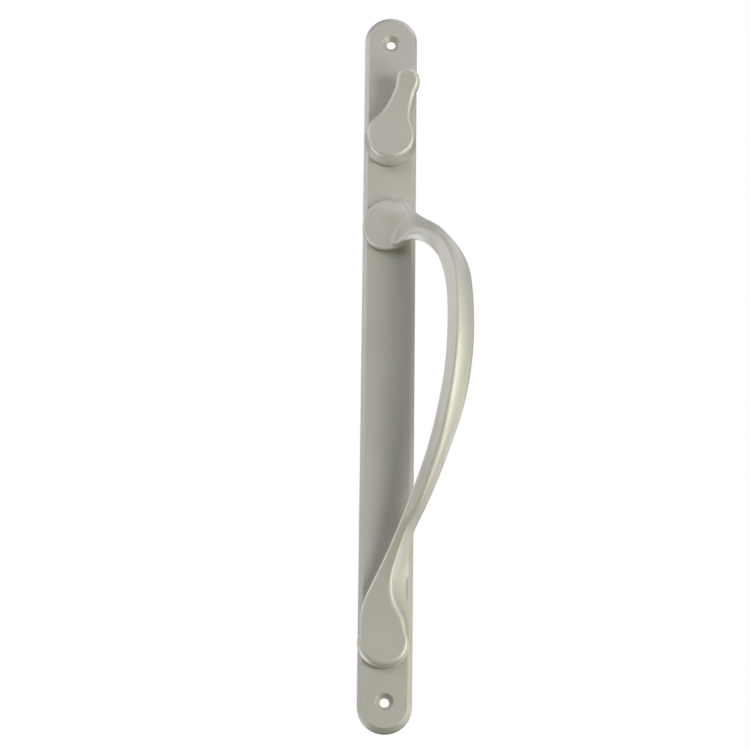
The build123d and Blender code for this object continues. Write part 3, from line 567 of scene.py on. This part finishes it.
def rounded(points, radii, n=6):
    """a run of straight lines with its inner corners rounded"""
    pts = [np.array(p, float) for p in points]
    out = [pts[0]]
    for a, b, c, r in zip(pts, pts[1:], pts[2:], radii):
        u, v = (a - b) / np.linalg.norm(a - b), (c - b) / np.linalg.norm(c - b)
        if not r:
            out.append(b)
            continue
        half = math.acos(max(-1, min(1, float(u @ v)))) / 2
        d = r / math.tan(half)
        centre = b + (u + v) / np.linalg.norm(u + v) * (r / math.sin(half))
        s, e = b + u * d - centre, b + v * d - centre
        a0 = math.atan2(s[1], s[0])
        da = (math.atan2(e[1], e[0]) - a0 + math.pi) % (2 * math.pi) - math.pi
        out += [centre + r * np.array([math.cos(a0 + da * k / n), math.sin(a0 + da * k / n)]) for k in range(n + 1)]
    return out + [pts[-1]]


def stadium(inset, straight=90, arc=64):
    r, c = PLATE_W / 2 - inset, (PLATE_L - PLATE_W) / 2
    z = np.linspace(-c, c, straight + 1)
    a = np.linspace(0, math.pi, arc + 1)[1:-1]
    return np.concatenate([
        np.stack([np.full(straight + 1, r), z], 1),
        np.stack([r * np.cos(a), c + r * np.sin(a)], 1),
        np.stack([np.full(straight + 1, -r), z[::-1]], 1),
        np.stack([-r * np.cos(a), -c - r * np.sin(a)], 1),
    ])


def solid_of_rings(name, rings):
    """closed mesh from equal rings of (x, y, z), capped at both ends"""
    n = len(rings[0])
    points = np.concatenate(rings)
    faces = []
    for k in range(len(rings) - 1):
        for i in range(n):
            j = (i + 1) % n
            faces.append((k * n + i, k * n + j, (k + 1) * n + j, (k + 1) * n + i))
    faces.append(tuple(range(n))[::-1])
    faces.append(tuple((len(rings) - 1) * n + i for i in range(n)))
    mesh = bpy.data.meshes.new(name)
    mesh.from_pydata((points * MM).tolist(), [], faces)
    mesh.validate()
    ob = bpy.data.objects.new(name, mesh)
    bpy.context.scene.collection.objects.link(ob)
    return ob


def flat_rings(outline, ps):
    return [np.stack([outline[:, 0], np.full(len(outline), -p), outline[:, 1]], 1) for p in ps]


def lathe(name, x, z, profile, n=96):
    """round cutter or solid about an axis through (x, z): profile of (radius, p), rising p"""
    a = np.linspace(0, 2 * math.pi, n, endpoint=False)
    rings = [np.stack([x + r * np.cos(a), np.full(n, -p), z + r * np.sin(a)], 1) for r, p in profile]
    return solid_of_rings(name, rings)


def slab(name, x0, x1, p0, p1, z0, z1):
    outline = np.array([(x0, z0), (x1, z0), (x1, z1), (x0, z1)], float)
    return solid_of_rings(name, flat_rings(outline, (p0, p1)))


def cut(target, tools, operation="DIFFERENCE"):
    group = bpy.data.collections.new("tools")
    for t in tools:
        group.objects.link(t)
    m = target.modifiers.new("cut", "BOOLEAN")
    m.operation, m.solver, m.operand_type, m.collection = operation, "EXACT", "COLLECTION", group
    dg = bpy.context.evaluated_depsgraph_get()
    mesh = bpy.data.meshes.new_from_object(target.evaluated_get(dg), depsgraph=dg)
    target.modifiers.clear()
    target.data = mesh
    for t in tools:
        bpy.data.objects.remove(t)
    bpy.data.collections.remove(group)
    return target


FIX_Z = 177.8
profile = rounded([(2.2, 0.0), (0.0, 0.0), (0.0, 4.5), (2.3, 6.5), (5.2, 6.5)], (0.35, 1.1, 0.45), 7)
rings = []
for inset, p in profile[:-1] + [(3.1, 6.5)]:
    outline = stadium(inset)
    rings.append(np.stack([outline[:, 0], np.full(len(outline), -p), outline[:, 1]], 1))
plate = solid_of_rings("escutcheon_cast", rings)

hollow = solid_of_rings("hollow", flat_rings(stadium(2.4), (-1.0, 4.0)))
stops = [(TURN_X - 10.1 * math.sin(math.radians(a)), TURN_Z - 10.1 * math.cos(math.radians(a))) for a in (-27.32, 117.32)]
KEEPER_SCREWS = ((-7.4, 137.6), (7.6, 106.1))
stays = [slab(f"rib{i}", -15, 15, -2, 5, z - 0.9, z + 0.9) for i, z in enumerate((149, 98, 48, 24, 0, -24, -48, -72, -96, -120))]
stays += [lathe(f"boss{i}", 0, z, ((6.8, -2), (6.8, 5))) for i, z in enumerate((FIX_Z, -FIX_Z))]
stays += [lathe(f"stop{i}", x, z, ((1.2, 1.2), (1.2, 5)), 48) for i, (x, z) in enumerate(stops)]
stays += [slab(f"pad{i}", x - 4, x + 4, 1.2, 5, z - 3.2, z + 3.2) for i, (x, z) in enumerate(((-8.6, 137.6), (8.8, 106.1)))]
stays += [slab("rail", TURN_X - 3.5, TURN_X + 3.5, 1.2, 5, 129.6, 142.1), lathe("seat", TURN_X, TURN_Z, ((10.9, 3.4), (10.9, 5)))]
for s in stays:
    cut(hollow, [s])
tools = [hollow]
for i, z in enumerate((FIX_Z, -FIX_Z)):
    tools.append(lathe(f"recess{i}", 0, z, ((4.7, -1), (4.7, 3.2))))
    tools.append(lathe(f"sink{i}", 0, z, ((2.4, 3.0), (2.4, 4.3), (4.4, 6.3), (4.62, 6.46), (5.0, 6.56), (5.2, 7.5))))
for i, z in enumerate((TOP_FOOT_Z, LOW_FOOT_Z)):
    tools.append(lathe(f"seat{i}", FOOT_X, z, ((5.0, -1), (5.0, 8))))
tools.append(lathe("bush_bore", TURN_X, TURN_Z, ((6.55, -1), (6.55, 5.6), (9.2, 5.6), (9.2, 8))))
tools.append(slab("channel", TURN_X - 1.05, TURN_X + 1.05, 1.0, 3.3, 129.0, 139.1))
for i, (x, z) in enumerate(KEEPER_SCREWS):
    tools.append(lathe(f"blind{i}", x, z, ((1.27, 1.0), (1.27, 4.8)), 48))
for t in tools:
    cut(plate, [t])
plate.data.name = "escutcheon_cast"
plate.data.polygons.foreach_set("use_smooth", np.ones(len(plate.data.polygons), bool))
plate.data.set_sharp_from_angle(angle=math.radians(32))
weigh = plate.modifiers.new("weigh", "WEIGHTED_NORMAL")
weigh.keep_sharp = True
weigh.weight = 100
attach(plate, "trim")
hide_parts("escutcheon_plate")

# ---------------------------------------------------------------------------
# Materials
# ---------------------------------------------------------------------------


class Nodes:
    def __init__(self, name):
        self.material = bpy.data.materials.new(name)
        self.material.use_nodes = True
        self.tree = self.material.node_tree
        self.tree.nodes.clear()
        self.out = self.add("ShaderNodeOutputMaterial")
        self.shader = self.add("ShaderNodeBsdfPrincipled")
        self.link(self.shader.outputs[0], self.out.inputs[0])
        self.place = self.add("ShaderNodeTexCoord").outputs["Object"]

    def add(self, kind, **values):
        node = self.tree.nodes.new(kind)
        for key, value in values.items():
            setattr(node, key, value)
        return node

    def link(self, a, b):
        self.tree.links.new(a, b)

    def noise(self, scale, detail=3.0, rough=0.5, stretch=None):
        vector = self.place
        if stretch:
            mapping = self.add("ShaderNodeMapping")
            mapping.inputs["Scale"].default_value = stretch
            self.link(vector, mapping.inputs["Vector"])
            vector = mapping.outputs[0]
        node = self.add("ShaderNodeTexNoise")
        node.inputs["Scale"].default_value = scale
        node.inputs["Detail"].default_value = detail
        node.inputs["Roughness"].default_value = rough
        self.link(vector, node.inputs["Vector"])
        return node.outputs["Fac"]

    def span(self, value, low, high, from_low=0.3, from_high=0.7):
        node = self.add("ShaderNodeMapRange")
        for key, v in (("From Min", from_low), ("From Max", from_high), ("To Min", low), ("To Max", high)):
            node.inputs[key].default_value = v
        self.link(value, node.inputs["Value"])
        return node.outputs[0]

    def mix(self, factor, a, b):
        node = self.add("ShaderNodeMix", data_type="RGBA")
        node.inputs["A"].default_value = (*a, 1)
        node.inputs["B"].default_value = (*b, 1)
        self.link(factor, node.inputs["Factor"])
        return node.outputs["Result"]

    def bump(self, height, strength, distance, before=None):
        node = self.add("ShaderNodeBump")
        node.inputs["Strength"].default_value = strength
        node.inputs["Distance"].default_value = distance
        self.link(height, node.inputs["Height"])
        if before:
            self.link(before, node.inputs["Normal"])
        return node.outputs[0]

    def set(self, **values):
        for key, value in values.items():
            self.shader.inputs[key.replace("_", " ")].default_value = value


def satin_nickel(name, dark, light, rough, brushed=None, painted_edge_highlight=False):
    """bead-blasted, plated and lacquered: fine grain, faint clouds, convex edges painted a little lighter as a painted
    highlight
    """
    m = Nodes(name)
    m.set(Metallic=0.4)
    colour = m.mix(m.span(m.noise(28, 4), 0, 1), dark, light)
    grain = m.noise(1500, 2, 0.6)
    gloss = m.span(grain, rough - 0.10, rough + 0.10)
    if painted_edge_highlight:
        # painted highlight: convex edges get a lighter colour where light would catch them
        edge = m.span(m.add("ShaderNodeAttribute", attribute_name="painted_edge_highlight").outputs["Fac"], 0, 1, 0.07, 0.20)
        edge_highlight_mix = m.add("ShaderNodeMix", data_type="RGBA")
        edge_highlight_mix.inputs["B"].default_value = (0.71, 0.695, 0.64, 1)
        m.link(edge, edge_highlight_mix.inputs["Factor"])
        m.link(colour, edge_highlight_mix.inputs["A"])
        colour = edge_highlight_mix.outputs["Result"]
    m.link(colour, m.shader.inputs["Base Color"])
    m.link(gloss, m.shader.inputs["Roughness"])
    normal = m.bump(m.noise(2600, 2, 0.6), 0.16, 0.00006)
    if brushed:
        normal = m.bump(m.noise(1.0, 2, 0.6, brushed), 0.06, 0.00005, normal)
    m.link(normal, m.shader.inputs["Normal"])
    return m.material


NICKEL_DARK, NICKEL_LIGHT = (0.585, 0.570, 0.520), (0.625, 0.610, 0.560)
# the cast pieces carry the painted edge highlight
cast_satin = satin_nickel("cast_satin", NICKEL_DARK, NICKEL_LIGHT, 0.5, painted_edge_highlight=True)
plate_satin = satin_nickel("plate_satin", NICKEL_DARK, NICKEL_LIGHT, 0.5, (2600, 2600, 26))
for piece, material in ((handle, cast_satin), (turn, cast_satin), (plate, plate_satin)):
    piece.data.materials.clear()
    piece.data.materials.append(material)


def zinc_steel():
    m = Nodes("zinc_plated_steel")
    m.set(Metallic=1.0)
    m.link(m.mix(m.span(m.noise(140, 4), 0, 1), (0.50, 0.52, 0.56), (0.66, 0.65, 0.60)), m.shader.inputs["Base Color"])
    m.link(m.span(m.noise(420, 3), 0.26, 0.42), m.shader.inputs["Roughness"])
    m.link(m.bump(m.noise(3000, 2), 0.2, 0.00005), m.shader.inputs["Normal"])
    return m.material


def spring_steel():
    m = Nodes("phosphated_spring_steel")
    m.set(Metallic=1.0)
    m.link(m.mix(m.span(m.noise(260, 4), 0, 1), (0.13, 0.13, 0.14), (0.22, 0.21, 0.20)), m.shader.inputs["Base Color"])
    m.link(m.span(m.noise(600, 3), 0.38, 0.55), m.shader.inputs["Roughness"])
    m.link(m.bump(m.noise(4000, 2), 0.25, 0.00004), m.shader.inputs["Normal"])
    return m.material


def acetal():
    m = Nodes("acetal")
    m.link(m.mix(m.span(m.noise(120, 3), 0, 1), (0.74, 0.73, 0.68), (0.80, 0.79, 0.75)), m.shader.inputs["Base Color"])
    m.link(m.span(m.noise(500, 2), 0.42, 0.52), m.shader.inputs["Roughness"])
    m.set(Subsurface_Weight=0.12, Subsurface_Radius=(0.001, 0.001, 0.0008))
    m.link(m.bump(m.noise(2400, 2), 0.15, 0.00004), m.shader.inputs["Normal"])
    return m.material


finishes = {"zinc_steel": zinc_steel(), "spring_steel": spring_steel(), "acetal": acetal(), "satin_nickel": cast_satin}
for row in frame["record"]["subparts"]:
    node = frame["nodes"][row["node"]]
    if not node.hide_render:
        node.data.materials.clear()
        node.data.materials.append(finishes[row["material_slot"]])

# ---------------------------------------------------------------------------
# Studio: white surround, plain pale floor far below, soft panels
# ---------------------------------------------------------------------------


def floor():
    mesh = bpy.data.meshes.new("floor")
    s = 6.0
    mesh.from_pydata([(-s, -s, -2.3), (s, -s, -2.3), (s, s, -2.3), (-s, s, -2.3)], [], [(0, 1, 2, 3)])
    ob = bpy.data.objects.new("floor", mesh)
    bpy.context.scene.collection.objects.link(ob)
    m = Nodes("pale_floor")
    m.link(m.mix(m.span(m.noise(3, 3), 0, 1), (0.86, 0.86, 0.85), (0.89, 0.89, 0.88)), m.shader.inputs["Base Color"])
    m.set(Roughness=0.8)
    mesh.materials.append(m.material)
    ob.visible_diffuse = ob.visible_glossy = False
    # wide soft light under the handle that only faces the floor
    data = bpy.data.lights.new("floor_light", "AREA")
    data.shape, data.size = "SQUARE", 24.0
    data.energy = 1380.0
    lamp = bpy.data.objects.new("floor_light", data)
    bpy.context.scene.collection.objects.link(lamp)
    lamp.location = (0, 0, -1.3)


def panel(name, toward, energy):
    """round soft panel, 0.55 m across, 1.5 m from the handle and facing it"""
    way = Vector(toward).normalized()
    level = max(energy)
    data = bpy.data.lights.new(name, "AREA")
    data.shape, data.size = "DISK", 0.55
    data.energy, data.color = 10.0 * level, [e / level for e in energy]
    ob = bpy.data.objects.new(name, data)
    bpy.context.scene.collection.objects.link(ob)
    ob.location = way * 1.5
    ob.rotation_euler = (-way).to_track_quat("-Z", "Y").to_euler()
    return ob


def surround():
    world = bpy.data.worlds.new("studio")
    bpy.context.scene.world = world
    world.use_nodes = True
    t = world.node_tree
    t.nodes.clear()
    out = t.nodes.new("ShaderNodeOutputWorld")
    seen, lit = t.nodes.new("ShaderNodeBackground"), t.nodes.new("ShaderNodeBackground")
    seen.inputs["Color"].default_value, seen.inputs["Strength"].default_value = (1, 1, 1, 1), 1.0
    path, mix = t.nodes.new("ShaderNodeLightPath"), t.nodes.new("ShaderNodeMixShader")
    lit.inputs["Strength"].default_value = 0.034
    lit.inputs["Color"].default_value = (1, 1, 1, 1)
    t.links.new(path.outputs["Is Camera Ray"], mix.inputs["Fac"])
    t.links.new(lit.outputs[0], mix.inputs[1])
    t.links.new(seen.outputs[0], mix.inputs[2])
    t.links.new(mix.outputs[0], out.inputs["Surface"])


floor()
surround()
PANELS = [
    ("right_front", (0.65, -0.76, -0.01), (0.84, 0.833, 0.791)),
    ("right_front_low", (0.68, -0.61, -0.41), (0.641, 0.629, 0.555)),
    ("left_low", (-0.75, 0.16, -0.64), (0.523, 0.53, 0.495)),
    ("left_behind", (-0.92, 0.32, -0.24), (0.406, 0.441, 0.481)),
    ("left_behind_high", (-0.88, 0.23, 0.41), (0.305, 0.306, 0.3)),
    ("left_behind_low", (-0.74, 0.46, -0.49), (0.287, 0.254, 0.263)),
    ("right_behind", (0.9, 0.38, -0.22), (0.246, 0.241, 0.258)),
    ("right_high", (0.52, 0.19, 0.84), (0.243, 0.229, 0.259)),
    ("left_high", (-0.82, -0.26, 0.51), (0.188, 0.172, 0.22)),
    ("left_front", (-0.7, -0.71, -0.05), (0.222, 0.192, 0.143)),
    ("right", (1, 0.05, -0.07), (0.199, 0.213, 0.14)),
    ("left_front_high", (-0.51, -0.61, 0.61), (0.196, 0.154, 0.166)),
    ("high", (0.14, 0, 0.99), (0.161, 0.179, 0.156)),
    ("left_front_high_2", (-0.3, -0.84, 0.45), (0.153, 0.162, 0.162)),
    ("left_front_high_3", (-0.74, -0.57, 0.36), (0.111, 0.165, 0.174)),
    ("right_behind_low", (0.67, 0.4, -0.62), (0.142, 0.178, 0.125)),
    ("right_front_high", (0.54, -0.54, 0.64), (0.139, 0.122, 0.105)),
    ("front_high", (0.26, -0.55, 0.8), (0.102, 0.087, 0.121)),
    ("right_front_high_2", (0.5, -0.77, 0.39), (0.051, 0.087, 0.054)),
    ("left_high_2", (-0.75, 0.03, 0.66), (0.042, 0.051, 0.036)),
    ("right_low", (0.87, 0.16, -0.47), (0.037, 0.017, 0.052)),
    ("left_front_2", (-0.41, -0.89, -0.2), (0.037, 0.035, 0.02)),
    ("left_high_3", (-0.4, -0.07, 0.91), (0.023, 0.027, 0.03)),
    ("right_high_2", (0.66, -0.14, 0.74), (0, 0.026, 0.048)),
]
for row in PANELS:
    panel(*row)
bpy.context.scene.view_settings.view_transform = "Standard"
